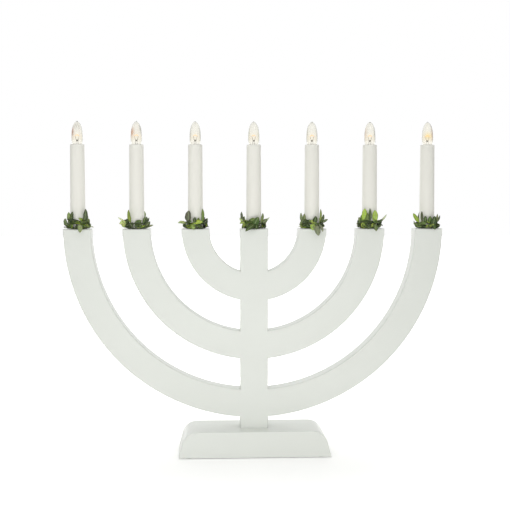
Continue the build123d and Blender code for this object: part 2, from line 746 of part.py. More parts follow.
board = frame_board()
for name, piece in frame_pieces(board).items():
    save(name, piece)
for name, strips in channel_covers().items():
    save(f"channel_cover_{name}", *strips)
save("base", base_block())
save("base_cover_plate", cover_plate())
save("cover_screws", *[cover_screw(x, y) for x, y in cover_screw_places()])
save("stem_screws", stem_screw(-1), stem_screw(1))
save("foot_pads", *foot_pads())
save("cord_gland", cord_gland())
save("terminal_block", terminal_block())
save("arm_dowels", *[dowel(side, height) for side, height in dowel_places()])
save("wiring_left", *side_wires(-1))
save("wiring_right", *side_wires(1))
save("lamp_holders", *[lamp_holder(x) for x in lamp_x])
save("socket_shells", *[socket_shell(x) for x in lamp_x])
save("socket_centre_contacts", *[centre_contact(x) for x in lamp_x])
for number, x in enumerate(lamp_x, start=1):
    save(f"candle_sleeve_{number}", candle_sleeve(x))
    save(f"bulb_contact_{number}", bulb_contact(x))
    save(f"bulb_cap_{number}", bulb_cap(x), filament_mount(x))
    save(f"bulb_glass_{number}", bulb_glass(x))
    save(f"leaf_ring_{number}", leaf_ring(number, x))
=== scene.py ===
"""Seven-light electric candelabra in white lacquered wood, dressed for its looks.

Metres, +Z up, front is -Y. Every piece is made where the frame's nodes are.
"""
import bmesh
import bpy
import math
import random
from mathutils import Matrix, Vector


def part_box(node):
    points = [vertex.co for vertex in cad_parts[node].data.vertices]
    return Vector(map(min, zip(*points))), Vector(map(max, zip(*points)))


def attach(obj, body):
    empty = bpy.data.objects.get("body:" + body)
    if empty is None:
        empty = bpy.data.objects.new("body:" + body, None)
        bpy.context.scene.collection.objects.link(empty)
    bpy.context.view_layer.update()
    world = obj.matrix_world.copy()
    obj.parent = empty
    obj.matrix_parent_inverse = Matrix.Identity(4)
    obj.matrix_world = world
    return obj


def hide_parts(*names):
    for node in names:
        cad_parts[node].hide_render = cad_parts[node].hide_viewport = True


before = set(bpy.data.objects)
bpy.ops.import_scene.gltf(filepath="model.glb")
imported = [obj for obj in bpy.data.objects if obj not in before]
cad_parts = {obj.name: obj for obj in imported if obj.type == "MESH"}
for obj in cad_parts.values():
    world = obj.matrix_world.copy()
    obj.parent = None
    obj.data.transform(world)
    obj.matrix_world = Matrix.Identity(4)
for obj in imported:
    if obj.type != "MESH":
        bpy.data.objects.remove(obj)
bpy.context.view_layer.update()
scene = bpy.context.scene
scene.view_settings.view_transform = "Standard"
mm = 0.001

# ---- sizes shared with the frame, in metres ----
lamps = range(1, 8)
frame_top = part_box("arm_left_outer")[1].z
cap_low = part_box("bulb_cap_4")[0].z
cap_length = 9.5 * mm
cap_high = cap_low + cap_length
cap_radius = 4.25 * mm
thread_pitch = 1.814 * mm
thread_turns = 4.0
thread_rib = 0.5 * mm
thread_start = 1.2 * mm
twig_radius = 0.9 * mm
twig_ring_radius = 11.3 * mm
twig_step = 5.3 * mm
twig_seat = 0.3 * mm

# ---- habits of the wreaths; reaches and heights are in millimetres, angles in degrees ----
leaf_thickness = 0.35 * mm
leaf_stalk = 1.0 * mm
leaf_cup = 0.28
leaf_arch = (0.02, 0.10)
leaf_twist = (-0.5, 0.5)
front_turn = 0.9
back_leaves = 9
back_reach = (13.5, 15.5)
back_widths = (3.6, 6.0)
back_heights = [5.0, 9.0, 14.0, 19.0]
side_heights = [4.0, 5.2, 7.0, 9.5]
side_turn = 38
back_tones = ["#55693C", "#6E7D37", "#829B55", "#46503C", "#788764", "#3C4B34"]
nest_leaves = 32
nest_reach = (12.6, 14.8)
nest_widths = (2.8, 5.0)
nest_steepness = 0.85
nest_swing = (36, 58)
hanging_swing = (8, 30)
hanging_heights = (1.6, 3.0)
nest_tones = ["#2C3D18", "#3C5024", "#24331A", "#55693C", "#7E9438", "#33432A", "#9DAE5A"]
strands = 3
strand_steps = 72
strand_twists = 7
strand_swing = 0.4 * mm
strand_girth = (0.3, 0.42)
ties = 9
tie_steps = 5
tie_lean = 14
tie_girth = 0.34 * mm


def lamp_x(number):
    """Place of a candle along the candelabra."""
    low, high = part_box(f"candle_sleeve_{number}")
    return (low.x + high.x) / 2


def linear(code):
    """Linear colour of an sRGB hex code."""
    parts = [int(code[i:i + 2], 16) / 255 for i in (1, 3, 5)]
    return [c / 12.92 if c < 0.04045 else ((c + 0.055) / 1.055) ** 2.4 for c in parts] + [1.0]


def add(tree, kind, links=None, **settings):
    """Adds one node with its settings; links gives its sockets a value, or a node or socket to read."""
    node = tree.nodes.new(kind)
    for name, value in settings.items():
        setattr(node, name, value)
    for key, value in (links or {}).items():
        if isinstance(key, str):
            target = next(s for s in node.inputs if s.enabled and s.name == key)
        else:
            target = node.inputs[key]
        if isinstance(value, bpy.types.Node):
            value = next(s for s in value.outputs if s.enabled)
        if isinstance(value, bpy.types.NodeSocket):
            tree.links.new(value, target)
        else:
            target.default_value = value
    return node


def out(node, name):
    """A node's output by its name."""
    return next(s for s in node.outputs if s.enabled and s.name == name)


def new_material(name):
    """An empty node material and its tree."""
    material = bpy.data.materials.new(name)
    material.use_nodes = True
    material.node_tree.nodes.clear()
    return material, material.node_tree


def two_tone(tree, place, pale, deep, patch, detail=3.0):
    """A colour that drifts between two tones over patches of that many metres."""
    drift = add(tree, "ShaderNodeTexNoise", {"Vector": place, "Scale": 1 / patch, "Detail": detail})
    return add(tree, "ShaderNodeMix", {"Factor": drift, "A": linear(pale), "B": linear(deep)},
               data_type="RGBA")


def grained(tree, place, size, height, detail=2.0):
    """A fine bump: grains of that size standing that high, in metres."""
    grain = add(tree, "ShaderNodeTexNoise", {"Vector": place, "Scale": 1 / size, "Detail": detail})
    return add(tree, "ShaderNodeBump", {"Height": grain, "Distance": height, "Strength": 1.0})


def rough_between(tree, place, size, smooth, dull):
    """Roughness that wanders between two values over patches of that size."""
    wander = add(tree, "ShaderNodeTexNoise", {"Vector": place, "Scale": 1 / size, "Detail": 4.0})
    return add(tree, "ShaderNodeMapRange", {"Value": wander, "From Min": 0.3, "From Max": 0.7,
                                            "To Min": smooth, "To Max": dull})


def plain_finish(name, pale, deep, patch, grain, height, smooth, dull, stretch=(1, 1, 1),
                 metallic=0.0, **fixed):
    """A solid finish: two close tones, a fine grain and uneven gloss."""
    material, tree = new_material(name)
    coordinate = add(tree, "ShaderNodeTexCoord")
    place = add(tree, "ShaderNodeMapping", {"Vector": out(coordinate, "Object"), "Scale": stretch})
    shader = add(tree, "ShaderNodeBsdfPrincipled", {
        "Base Color": two_tone(tree, place, pale, deep, patch),
        "Roughness": rough_between(tree, place, patch / 3, smooth, dull),
        "Normal": grained(tree, place, grain, height),
        "Metallic": metallic, **{key.replace("_", " "): value for key, value in fixed.items()}})
    add(tree, "ShaderNodeOutputMaterial", {"Surface": shader})
    return material


# Spray lacquer on sanded board: satin, faintly pebbled by the spray, a hair warmer in the drifts.
white_lacquer = plain_finish("white_lacquer", "#E8EBE5", "#E3E6DF", 60 * mm, 0.9 * mm, 0.003 * mm,
                             0.38, 0.48, Specular_IOR_Level=0.35, Coat_Weight=0.4,
                             Coat_Roughness=0.2)
# Hardboard closing strips and cover plate under the same lacquer, duller where it soaked in.
cover_board = plain_finish("painted_hardboard", "#E2E4DD", "#D6D8CF", 18 * mm, 0.6 * mm, 0.02 * mm,
                           0.45, 0.62)
# Zinc-plated steel screws: pale metal with cloudy plating.
zinc_steel = plain_finish("zinc_plated_steel", "#C9CBC8", "#A9ABA9", 2 * mm, 0.25 * mm, 0.01 * mm,
                          0.28, 0.48, metallic=1.0)
# Pressed wool felt pads: matt, with a short fibrous nap.
felt = plain_finish("pressed_felt", "#8A8A84", "#6E6E69", 1.2 * mm, 0.18 * mm, 0.12 * mm, 0.92, 1.0,
                    Sheen_Weight=0.4)
# Moulded synthetic rubber of the cord gland: off-white, softly matt.
gland_rubber = plain_finish("moulded_rubber", "#E3E3DD", "#D5D5CE", 4 * mm, 0.3 * mm, 0.01 * mm,
                            0.45, 0.6)
# Moulded polyamide terminal block: milky and a little waxy.
block_plastic = plain_finish("moulded_polyamide", "#E8E4D4", "#DCD7C4", 3 * mm, 0.4 * mm,
                             0.01 * mm, 0.38, 0.5, Subsurface_Weight=0.15)
# Turned beech dowels: pink-brown wood with short flecks along the grain.
beech = plain_finish("turned_beech", "#C99F71", "#A87B4F", 2.2 * mm, 0.5 * mm, 0.03 * mm, 0.55,
                     0.7, stretch=(0.25, 1, 1))
# Soft PVC wire insulation: smooth, even, low gloss.
wire_insulation = plain_finish("soft_pvc", "#D9D6CC", "#CCC8BC", 5 * mm, 0.5 * mm, 0.005 * mm,
                               0.35, 0.45)
# Moulded phenolic lamp holder: cream, slightly glossy, with flow marks.
holder_plastic = plain_finish("moulded_phenolic", "#E6E0CE", "#D8D1BC", 5 * mm, 0.5 * mm,
                              0.01 * mm, 0.28, 0.4)
# Drawn brass socket shell and contacts: warm metal with fine draw marks.
socket_brass = plain_finish("drawn_brass", "#D9B66A", "#B8934C", 2.5 * mm, 0.15 * mm, 0.008 * mm,
                            0.22, 0.4, stretch=(1, 1, 0.2), metallic=1.0)
# Rolled brass bulb cap, nickel-washed and a little tarnished.
cap_brass = plain_finish("rolled_brass", "#D8C48E", "#B49A5E", 2 * mm, 0.2 * mm, 0.008 * mm,
                         0.22, 0.42, metallic=1.0)
# Black glass insulator of the bulb foot.
insulator = plain_finish("black_glass", "#1E1C20", "#2A282C", 1.5 * mm, 0.3 * mm, 0.01 * mm,
                         0.12, 0.3)
# Extruded plastic candle tube: off-white, satin, with faint draw lines along it.
sleeve_plastic = plain_finish("extruded_plastic_tube", "#F5F4EC", "#EFEEE5", 9 * mm, 0.7 * mm,
                              0.006 * mm, 0.32, 0.44, stretch=(1, 1, 0.15))


# Marks of a leaf. The side veins are a wave along the blade, slanted towards its edges; each mark
# then has its share of the colour.
vein_slant = -0.22
vein_wave = 58.0
vein_share = 0.22
rib_share = 0.4
edge_share = 0.45
underside_share = 0.35


def leaf_finish():
    """Moulded leaf: its own mottled tone, paler midrib and side veins, darker edges, greyer back."""
    material, tree = new_material("moulded_polyethylene_leaf")
    tone = add(tree, "ShaderNodeAttribute", attribute_name="tone")
    along = out(add(tree, "ShaderNodeAttribute", attribute_name="along"), "Fac")
    across = out(add(tree, "ShaderNodeAttribute", attribute_name="across"), "Fac")
    under = out(add(tree, "ShaderNodeAttribute", attribute_name="under"), "Fac")
    place = out(add(tree, "ShaderNodeTexCoord"), "Object")
    away = add(tree, "ShaderNodeMath", {0: across}, operation="ABSOLUTE")
    rib = add(tree, "ShaderNodeMapRange", {"Value": away, "From Min": 0.05, "From Max": 0.2,
                                           "To Min": 1.0, "To Max": 0.0},
              interpolation_type="SMOOTHSTEP")
    edge = add(tree, "ShaderNodeMapRange", {"Value": away, "From Min": 0.7, "From Max": 1.0},
               interpolation_type="SMOOTHSTEP")
    slant = add(tree, "ShaderNodeMath", {0: away, 1: vein_slant, 2: along}, operation="MULTIPLY_ADD")
    turns = add(tree, "ShaderNodeMath", {0: slant, 1: vein_wave}, operation="MULTIPLY")
    wave = add(tree, "ShaderNodeMath", {0: turns}, operation="SINE")
    vein = add(tree, "ShaderNodeMapRange", {"Value": wave, "From Min": 0.6, "From Max": 1.0})
    speck = add(tree, "ShaderNodeTexNoise", {"Vector": place, "Scale": 1 / (2.2 * mm),
                                             "Detail": 5.0, "Roughness": 0.65})
    shade = add(tree, "ShaderNodeMapRange", {"Value": speck, "From Min": 0.25, "From Max": 0.75,
                                             "To Min": 0.7, "To Max": 1.8})
    fresh = add(tree, "ShaderNodeVectorMath", {0: out(tone, "Color"), 1: (1.0, 1.0, 0.72)},
                operation="MULTIPLY")
    mottled = add(tree, "ShaderNodeVectorMath", {0: fresh, "Scale": shade}, operation="SCALE")
    pale_vein = add(tree, "ShaderNodeMath", {0: vein, 1: vein_share}, operation="MULTIPLY")
    veined = add(tree, "ShaderNodeMix", {"Factor": pale_vein, "A": out(mottled, "Vector"),
                                         "B": linear("#A9B78B")}, data_type="RGBA")
    ribbed = add(tree, "ShaderNodeMix", {
        "Factor": add(tree, "ShaderNodeMath", {0: rib, 1: rib_share}, operation="MULTIPLY"),
        "A": veined, "B": linear("#B4C095")}, data_type="RGBA")
    edged = add(tree, "ShaderNodeMix", {
        "Factor": add(tree, "ShaderNodeMath", {0: edge, 1: edge_share}, operation="MULTIPLY"),
        "A": ribbed, "B": linear("#2C3A1C")}, data_type="RGBA")
    backed = add(tree, "ShaderNodeMix", {
        "Factor": add(tree, "ShaderNodeMath", {0: under, 1: underside_share},
                      operation="MULTIPLY"),
        "A": edged, "B": linear("#8C9A80")}, data_type="RGBA")
    relief = add(tree, "ShaderNodeMath", {0: rib, 1: vein}, operation="MAXIMUM")
    bump = add(tree, "ShaderNodeBump", {"Height": relief, "Distance": 0.12 * mm, "Strength": 0.8})
    rough = add(tree, "ShaderNodeMapRange", {"Value": speck, "To Min": 0.3, "To Max": 0.6})
    shader = add(tree, "ShaderNodeBsdfPrincipled", {
        "Base Color": backed, "Roughness": rough, "Normal": bump, "Specular IOR Level": 0.3,
        "Subsurface Weight": 0.08, "Subsurface Scale": 1 * mm})
    add(tree, "ShaderNodeOutputMaterial", {"Surface": shader})
    return material


def glass_finish():
    """Blown soda glass: clear, a little deeper where it is seen edge on, and coloured by its tint
    attribute, which holds painted glow and painted shade.
    """
    material, tree = new_material("blown_soda_glass")
    place = out(add(tree, "ShaderNodeTexCoord"), "Object")
    bump = grained(tree, place, 7 * mm, 0.006 * mm, 0.0)
    # The tint attribute carries the filament's painted glow and patches of painted shade.
    tint = add(tree, "ShaderNodeAttribute", attribute_name="tint")
    wall = add(tree, "ShaderNodeLayerWeight", {"Blend": 0.5})
    edge = add(tree, "ShaderNodeMapRange", {"Value": out(wall, "Facing"), "From Min": 0.2,
                                            "From Max": 0.9, "To Max": 0.8},
               interpolation_type="SMOOTHSTEP")
    deeper = add(tree, "ShaderNodeMix", {"Factor": edge, "A": out(tint, "Color"),
                                         "B": linear("#D2D1C8")}, data_type="RGBA")
    shader = add(tree, "ShaderNodeBsdfPrincipled", {
        "Base Color": deeper, "Roughness": 0.0, "IOR": 1.5, "Transmission Weight": 1.0,
        "Normal": bump})
    add(tree, "ShaderNodeOutputMaterial", {"Surface": shader})
    return material


def glowing_finish():
    """Tungsten filament at its working glow: amber, drifting between two heats along the coil."""
    material, tree = new_material("glowing_tungsten")
    place = out(add(tree, "ShaderNodeTexCoord"), "Object")
    heat = two_tone(tree, place, "#FFC27A", "#FF9A3C", 1.5 * mm)
    shader = add(tree, "ShaderNodeBsdfPrincipled", {
        "Base Color": linear("#5A4636"), "Roughness": 0.5, "Metallic": 1.0,
        "Emission Color": heat, "Emission Strength": 1.8})
    add(tree, "ShaderNodeOutputMaterial", {"Surface": shader})
    return material


moulded_leaf = leaf_finish()
# Wrapped floral wire of the wreath: dark olive bark paper, matt and ridged.
wrapped_twig = plain_finish("paper_wrapped_wire", "#4A5230", "#30381E", 2.5 * mm, 0.4 * mm,
                            0.08 * mm, 0.6, 0.8)
blown_glass = glass_finish()
glowing_tungsten = glowing_finish()
# Nickel-iron leads inside the bulb: thin grey wire.
lead_wire = plain_finish("nickel_iron_lead", "#8E8A84", "#6B6761", 1 * mm, 0.1 * mm, 0.003 * mm,
                         0.3, 0.5, metallic=1.0)
# Pressed lead-glass bead that spaces the leads: greyish, glossy.
bead_glass = plain_finish("pressed_bead_glass", "#A29E96", "#8E8A82", 1 * mm, 0.2 * mm,
                          0.005 * mm, 0.08, 0.2)

node_finishes = {
    "white_lacquer": white_lacquer, "cover_board": cover_board, "zinc_steel": zinc_steel,
    "felt": felt, "gland_rubber": gland_rubber, "block_plastic": block_plastic, "beech": beech,
    "wire_insulation": wire_insulation, "holder_plastic": holder_plastic,
    "socket_brass": socket_brass, "sleeve_plastic": sleeve_plastic, "leaf_plastic": moulded_leaf,
    "bulb_glass": blown_glass, "cap_brass": cap_brass, "insulator": insulator,
}
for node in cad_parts.values():
    for finish_slot in node.material_slots:
        finish_slot.material = node_finishes[finish_slot.material.name]


def finished(name, mesh, body, slot, *nodes):
    """Links a mesh as a piece that rides on a body and stands for those nodes."""
    piece = bpy.data.objects.new(name, mesh)
    scene.collection.objects.link(piece)
    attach(piece, body)
    if nodes:
        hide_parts(*nodes)
    return piece


def grown(name, tree, mesh, inputs):
    """The plain mesh that a node tree grows from a seed mesh."""
    seed = bpy.data.objects.new(name, mesh)
    scene.collection.objects.link(seed)
    modifier = seed.modifiers.new("grow", "NODES")
    modifier.node_group = tree
    for item in tree.interface.items_tree:
        if item.item_type == "SOCKET" and item.in_out == "INPUT" and item.name in inputs:
            modifier[item.identifier] = inputs[item.name]
    graph = bpy.context.evaluated_depsgraph_get()
    result = bpy.data.meshes.new_from_object(seed.evaluated_get(graph), depsgraph=graph)
    seed.modifiers.remove(modifier)
    bpy.data.objects.remove(seed)
    result.name = name
    return result


def new_tree(name, **inputs):
    """A geometry tree with a Geometry input and output and the named inputs, as socket kinds."""
    tree = bpy.data.node_groups.new(name, "GeometryNodeTree")
    tree.interface.new_socket("Geometry", in_out="INPUT", socket_type="NodeSocketGeometry")
    tree.interface.new_socket("Geometry", in_out="OUTPUT", socket_type="NodeSocketGeometry")
    for key, kind in inputs.items():
        tree.interface.new_socket(key, in_out="INPUT", socket_type="NodeSocket" + kind)
    return tree, add(tree, "NodeGroupInput")


def seed_mesh(name, points, edges, facts):
    """A mesh of points, or points joined by edges, that carries named facts for a tree to read."""
    mesh = bpy.data.meshes.new(name)
    mesh.from_pydata(points, edges, [])
    for key, values in facts.items():
        size = len(values[0]) if hasattr(values[0], "__len__") else 1
        kind = {1: "FLOAT", 3: "FLOAT_VECTOR", 4: "FLOAT_COLOR"}[size]
        layer = mesh.attributes.new(key, kind, "POINT")
        word = {1: "value", 3: "vector", 4: "color"}[size]
        flat = values if size == 1 else [part for value in values for part in value]
        layer.data.foreach_set(word, flat)
    return mesh


# ---- leaves ----
# Front leaves of each ring: base angle on the ring (degrees, -90 is the front), twig (0 low,
# 1 high), tip from the candle's axis (right, back, up from the arm) and width in millimetres, and
# the leaf's tone.
front_leaves = [
    [
        (-128, 1, -4.8, -12.5, 20.8, 5.0, "#324222"), (-42, 1, 10.2, -11.5, 24.2, 6.2, "#424E3A"),
        (-50, 1, -12.0, -15.5, 12.0, 3.4, "#243214"), (-75, 1, 12.0, -11.0, 9.0, 5.0, "#3C4B1E"),
        (-125, 0, -4.0, -15.0, 4.6, 5.5, "#768C3C"), (-75, 1, 4.2, -17.8, -4.0, 6.0, "#8A9676"),
        (-40, 0, 19.5, -12.0, 1.9, 6.0, "#78873E"), (-55, 0, 11.0, -14.5, 4.5, 5.5, "#607828"),
        (-160, 0, -14.0, -9.0, 13.0, 5.0, "#4C5C3C"), (-150, 0, -15.5, -11.0, 1.9, 4.5, "#5A5F4B"),
        (-100, 0, -2.0, -17.0, 1.9, 5.5, "#2D3C1E"), (-138, 1, -9.2, -11.8, 20.6, 4.8, "#788C5A"),
        (-138, 1, -1.0, -15.8, 8.0, 4.5, "#3C4A24"),
    ],
    [
        (-125, 1, -8.9, -13.0, 23.3, 4.8, "#768737"), (-165, 1, -20.5, -7.5, 6.0, 6.0, "#C8D2A0"),
        (-175, 1, -22.5, -3.0, 13.8, 2.0, "#CDD7B9"), (-105, 1, 6.6, -15.8, 6.5, 7.0, "#344428"),
        (-140, 1, -3.5, -15.5, 2.2, 6.0, "#3C4632"), (-150, 0, -13.5, -12.8, 1.9, 2.4, "#505A4B"),
        (-48, 1, 10.3, -9.5, 14.8, 3.4, "#425424"), (-40, 0, 16.4, -10.5, 9.0, 5.5, "#465037"),
        (-55, 0, 13.4, -12.8, 1.9, 2.6, "#3C4C24"), (-20, 0, 20.0, -6.0, 4.5, 3.0, "#969B8C"),
        (-70, 0, 2.0, -16.5, 1.9, 4.5, "#78826E"), (-172, 0, -19.0, -6.0, 9.6, 4.6, "#B0BE82"),
    ],
    [
        (-135, 1, -7.8, -11.5, 22.2, 7.5, "#4E504C"), (-160, 1, -20.8, -8.5, 7.0, 5.5, "#AABA8C"),
        (-140, 0, -11.0, -15.0, 2.6, 4.0, "#505A41"), (-95, 1, -0.8, -12.6, 14.2, 4.5, "#2A3A1E"),
        (-75, 1, 3.6, -12.4, 13.6, 3.2, "#567026"), (-112, 1, 8.4, -15.4, 8.5, 5.5, "#A0B654"),
        (-100, 1, -2.5, -14.9, -1.0, 5.0, "#8CA06E"), (-60, 0, 6.0, -15.5, 2.2, 5.5, "#5A645A"),
        (-45, 1, 8.3, -10.5, 24.3, 3.8, "#60763A"), (-30, 1, 14.0, -8.0, 11.0, 4.6, "#283222"),
        (-25, 0, 15.8, -9.5, 1.9, 3.6, "#3C423C"),
    ],
    [
        (-165, 1, -14.8, -5.0, 20.5, 5.2, "#4E544C"), (-170, 1, -17.2, -4.0, 13.0, 3.0, "#B0BE96"),
        (-160, 1, -3.4, -15.4, 8.6, 2.6, "#2E4014"), (-130, 1, 1.0, -16.6, 12.6, 5.0, "#5A703A"),
        (-150, 1, -17.2, -10.0, 6.0, 6.0, "#A5BA70"), (-72, 1, -10.8, -18.0, -2.8, 6.4, "#3E5028"),
        (-100, 0, 5.0, -14.5, 14.5, 8.0, "#3C5428"), (-80, 1, 2.5, -15.8, -0.6, 6.0, "#384824"),
        (-45, 1, 10.3, -9.8, 18.8, 3.6, "#606C42"), (-30, 1, 16.0, -8.5, 12.0, 4.6, "#646E5A"),
        (-15, 1, 18.8, -4.0, 13.8, 2.6, "#BEC8C3"), (-45, 0, 10.4, -13.4, 1.9, 3.2, "#3C4C3E"),
    ],
    [
        (-142, 1, -9.8, -9.8, 18.3, 3.6, "#606C4C"), (-150, 0, -16.8, -9.0, 2.4, 3.2, "#96A46E"),
        (-160, 1, -15.5, -6.0, 4.0, 3.0, "#606C40"), (-112, 1, -4.0, -13.0, 11.2, 4.6, "#38482C"),
        (-80, 1, 3.4, -12.8, 15.2, 6.5, "#32421E"), (-92, 1, -0.5, -17.2, -1.8, 6.4, "#96AC5C"),
        (-78, 1, 6.0, -20.5, -8.2, 8.0, "#80867C"), (-55, 1, 11.0, -19.8, -3.6, 4.5, "#82877D"),
        (-42, 1, 9.6, -9.4, 23.6, 3.4, "#788654"), (-30, 1, 13.6, -7.5, 17.2, 3.4, "#3C482E"),
        (-18, 1, 19.0, -5.5, 11.2, 3.2, "#647058"), (-40, 0, 14.5, -12.0, 3.0, 4.5, "#38422C"),
    ],
    [
        (-115, 1, -3.9, -12.8, 19.0, 4.4, "#60703E"), (-130, 1, -7.2, -11.5, 24.4, 6.6, "#96B250"),
        (-140, 1, -10.6, -9.5, 17.0, 4.6, "#546836"), (-95, 1, -1.2, -12.4, 24.6, 3.4, "#324224"),
        (-68, 1, 4.8, -12.0, 22.4, 6.8, "#96B058"), (-160, 0, -17.0, -7.0, 2.6, 2.6, "#788264"),
        (-118, 0, -8.5, -14.5, 1.9, 3.6, "#60743C"), (-85, 1, -4.4, -15.6, -0.8, 3.0, "#505F46"),
        (-70, 1, 5.3, -18.0, -3.0, 6.2, "#687A50"), (-40, 1, 14.6, -10.5, 3.0, 4.6, "#424E32"),
        (-25, 1, 20.0, -6.0, 17.0, 2.2, "#BEC8B9"), (-75, 1, 8.5, -13.0, 8.0, 4.0, "#384E1E"),
        (-50, 1, -12.2, -16.0, 8.6, 3.2, "#263614"), (-165, 1, -13.0, -4.0, 14.0, 3.4, "#6E785A"),
        (-32, 1, 14.6, -8.4, 11.5, 3.2, "#344228"),
    ],
    [
        (-150, 1, -18.4, -9.0, 18.6, 4.6, "#8AA43C"), (-140, 0, -12.8, -13.0, 2.2, 5.0, "#88A054"),
        (-155, 0, -16.0, -8.0, 7.0, 3.2, "#647350"), (-128, 1, -8.2, -10.8, 21.0, 3.2, "#3C4232"),
        (-112, 1, -4.0, -13.0, 15.2, 4.6, "#3E5228"), (-112, 0, -6.2, -15.0, 1.9, 4.0, "#3C4B28"),
        (-88, 1, 1.6, -13.2, 14.8, 4.8, "#48602C"), (-70, 0, 6.8, -13.4, 15.4, 7.4, "#2E4222"),
        (-68, 1, 7.0, -15.6, -1.4, 5.4, "#3E542E"), (-45, 1, 11.0, -9.6, 17.6, 3.8, "#788060"),
        (-28, 1, 14.6, -6.8, 15.8, 2.8, "#4C5842"), (-35, 0, 14.4, -10.0, 4.4, 4.4, "#2E3A26"),
        (-95, 0, 1.5, -16.5, 1.9, 4.0, "#829664"),
    ],
]


def leaf_tree():
    """Grows an ovate blade on a stalk at each point, arched along it and cupped across it."""
    tree, given = new_tree("leaf_blades", Thickness="Float", Stalk="Float", Cup="Float",
                           Finish="Material")
    fact = {key: add(tree, "GeometryNodeInputNamedAttribute", {"Name": key}, data_type=kind)
            for key, kind in (("root", "FLOAT_VECTOR"), ("aim", "FLOAT_VECTOR"),
                              ("face", "FLOAT_VECTOR"), ("span", "FLOAT"), ("spread", "FLOAT"),
                              ("arch", "FLOAT"), ("twist", "FLOAT"), ("along", "FLOAT"),
                              ("across", "FLOAT"))}

    sheet = add(tree, "GeometryNodeMeshGrid", {"Size X": 1.0, "Size Y": 1.0, "Vertices X": 17,
                                               "Vertices Y": 7})
    place = add(tree, "ShaderNodeSeparateXYZ", {0: add(tree, "GeometryNodeInputPosition")})
    for key, axis, scale, shift in (("along", "X", 1.0, 0.5), ("across", "Y", 2.0, 0.0)):
        share = add(tree, "ShaderNodeMath", {0: out(place, axis), 1: scale, 2: shift},
                    operation="MULTIPLY_ADD")
        sheet = add(tree, "GeometryNodeStoreNamedAttribute", {
            "Geometry": sheet, "Name": key, "Value": share}, data_type="FLOAT", domain="POINT")
    blades = add(tree, "GeometryNodeInstanceOnPoints", {"Points": out(given, "Geometry"),
                                                        "Instance": sheet})
    blades = add(tree, "GeometryNodeRealizeInstances", {"Geometry": blades})

    # Half width of the blade from its root to its tip, as a share of the widest.
    outline = add(tree, "ShaderNodeFloatCurve", {"Value": fact["along"]})
    curve = outline.mapping.curves[0]
    for spot, height in ((0.06, 0.0), (0.22, 0.66), (0.45, 1.0), (0.7, 0.9), (0.9, 0.48)):
        curve.points.new(spot, height)
    curve.points[0].location = (0.0, 0.0)
    curve.points[-1].location = (1.0, 0.0)
    outline.mapping.update()

    # Each line is one sum: its name, its operation, and the names or numbers that it reads.
    sums = {**fact, "outline": outline, "stalk": out(given, "Stalk"), "cup": out(given, "Cup")}
    for name, operation, *reads in (
            ("half spread", "MULTIPLY", "spread", 0.5),
            ("blade half", "MULTIPLY", "half spread", "outline"),
            ("stalk fade", "POWER", "along", 6.0),
            ("stalk left", "SUBTRACT", 1.0, "stalk fade"),
            ("half stalk", "MULTIPLY", "stalk", 0.5),
            ("stalk half", "MULTIPLY", "half stalk", "stalk left"),
            ("half", "MAXIMUM", "blade half", "stalk half"),
            ("still to go", "SUBTRACT", 1.0, "along"),
            ("bow", "MULTIPLY", "along", "still to go"),
            ("whole bow", "MULTIPLY", "bow", 4.0),
            ("arched bow", "MULTIPLY", "whole bow", "arch"),
            ("rise", "MULTIPLY", "arched bow", "span"),
            ("off the rib", "ABSOLUTE", "across"),
            ("edge", "POWER", "off the rib", 1.6),
            ("edge reach", "MULTIPLY", "edge", "half"),
            ("edge rise", "MULTIPLY", "edge reach", "cup"),
            ("wave turn", "MULTIPLY", "along", 17.0),
            ("wave", "SINE", "wave turn"),
            ("wave height", "MULTIPLY", "half", 0.10),
            ("wave rise", "MULTIPLY", "wave", "wave height"),
            ("ripple", "MULTIPLY", "wave rise", "across"),
            ("arch and cup", "ADD", "rise", "edge rise"),
            ("lift", "ADD", "arch and cup", "ripple"),
            ("turn", "MULTIPLY", "twist", "along"),
            ("level share", "COSINE", "turn"),
            ("steep share", "SINE", "turn"),
            ("sideways", "MULTIPLY", "across", "half"),
            ("level way", "MULTIPLY", "sideways", "level share"),
            ("steep way", "MULTIPLY_ADD", "sideways", "steep share", "lift"),
            ("forward", "MULTIPLY", "along", "span")):
        values = [sums[read] if isinstance(read, str) else read for read in reads]
        sums[name] = add(tree, "ShaderNodeMath", dict(enumerate(values)), operation=operation)
    side = add(tree, "ShaderNodeVectorMath", {0: fact["face"], 1: fact["aim"]},
               operation="CROSS_PRODUCT")
    spot = fact["root"]
    for direction, amount in ((fact["aim"], "forward"), (side, "level way"),
                              (fact["face"], "steep way")):
        step = add(tree, "ShaderNodeVectorMath", {0: direction, "Scale": sums[amount]},
                   operation="SCALE")
        spot = add(tree, "ShaderNodeVectorMath", {0: spot, 1: step}, operation="ADD")
    blades = add(tree, "GeometryNodeSetPosition", {"Geometry": blades, "Position": spot})

    top = add(tree, "GeometryNodeExtrudeMesh", {
        "Mesh": blades, "Offset": fact["face"], "Offset Scale": out(given, "Thickness"),
        "Individual": False})
    faces = []
    for mesh, value in ((out(top, "Mesh"), 0.0),
                        (add(tree, "GeometryNodeFlipFaces", {"Mesh": blades}), 1.0)):
        faces.append(add(tree, "GeometryNodeStoreNamedAttribute", {
            "Geometry": mesh, "Name": "under", "Value": value}, data_type="FLOAT",
            domain="FACE"))
    joined = add(tree, "GeometryNodeJoinGeometry")
    for one in faces:
        tree.links.new(one.outputs[0], joined.inputs[0])
    whole = add(tree, "GeometryNodeMergeByDistance", {"Geometry": joined, "Distance": 0.003 * mm})
    whole = add(tree, "GeometryNodeSetShadeSmooth", {"Geometry": whole, "Shade Smooth": True})
    whole = add(tree, "GeometryNodeRealizeInstances", {"Geometry": whole})
    whole = add(tree, "GeometryNodeSetMaterial", {"Geometry": whole,
                                                  "Material": out(given, "Finish")})
    add(tree, "NodeGroupOutput", {"Geometry": whole})
    return tree


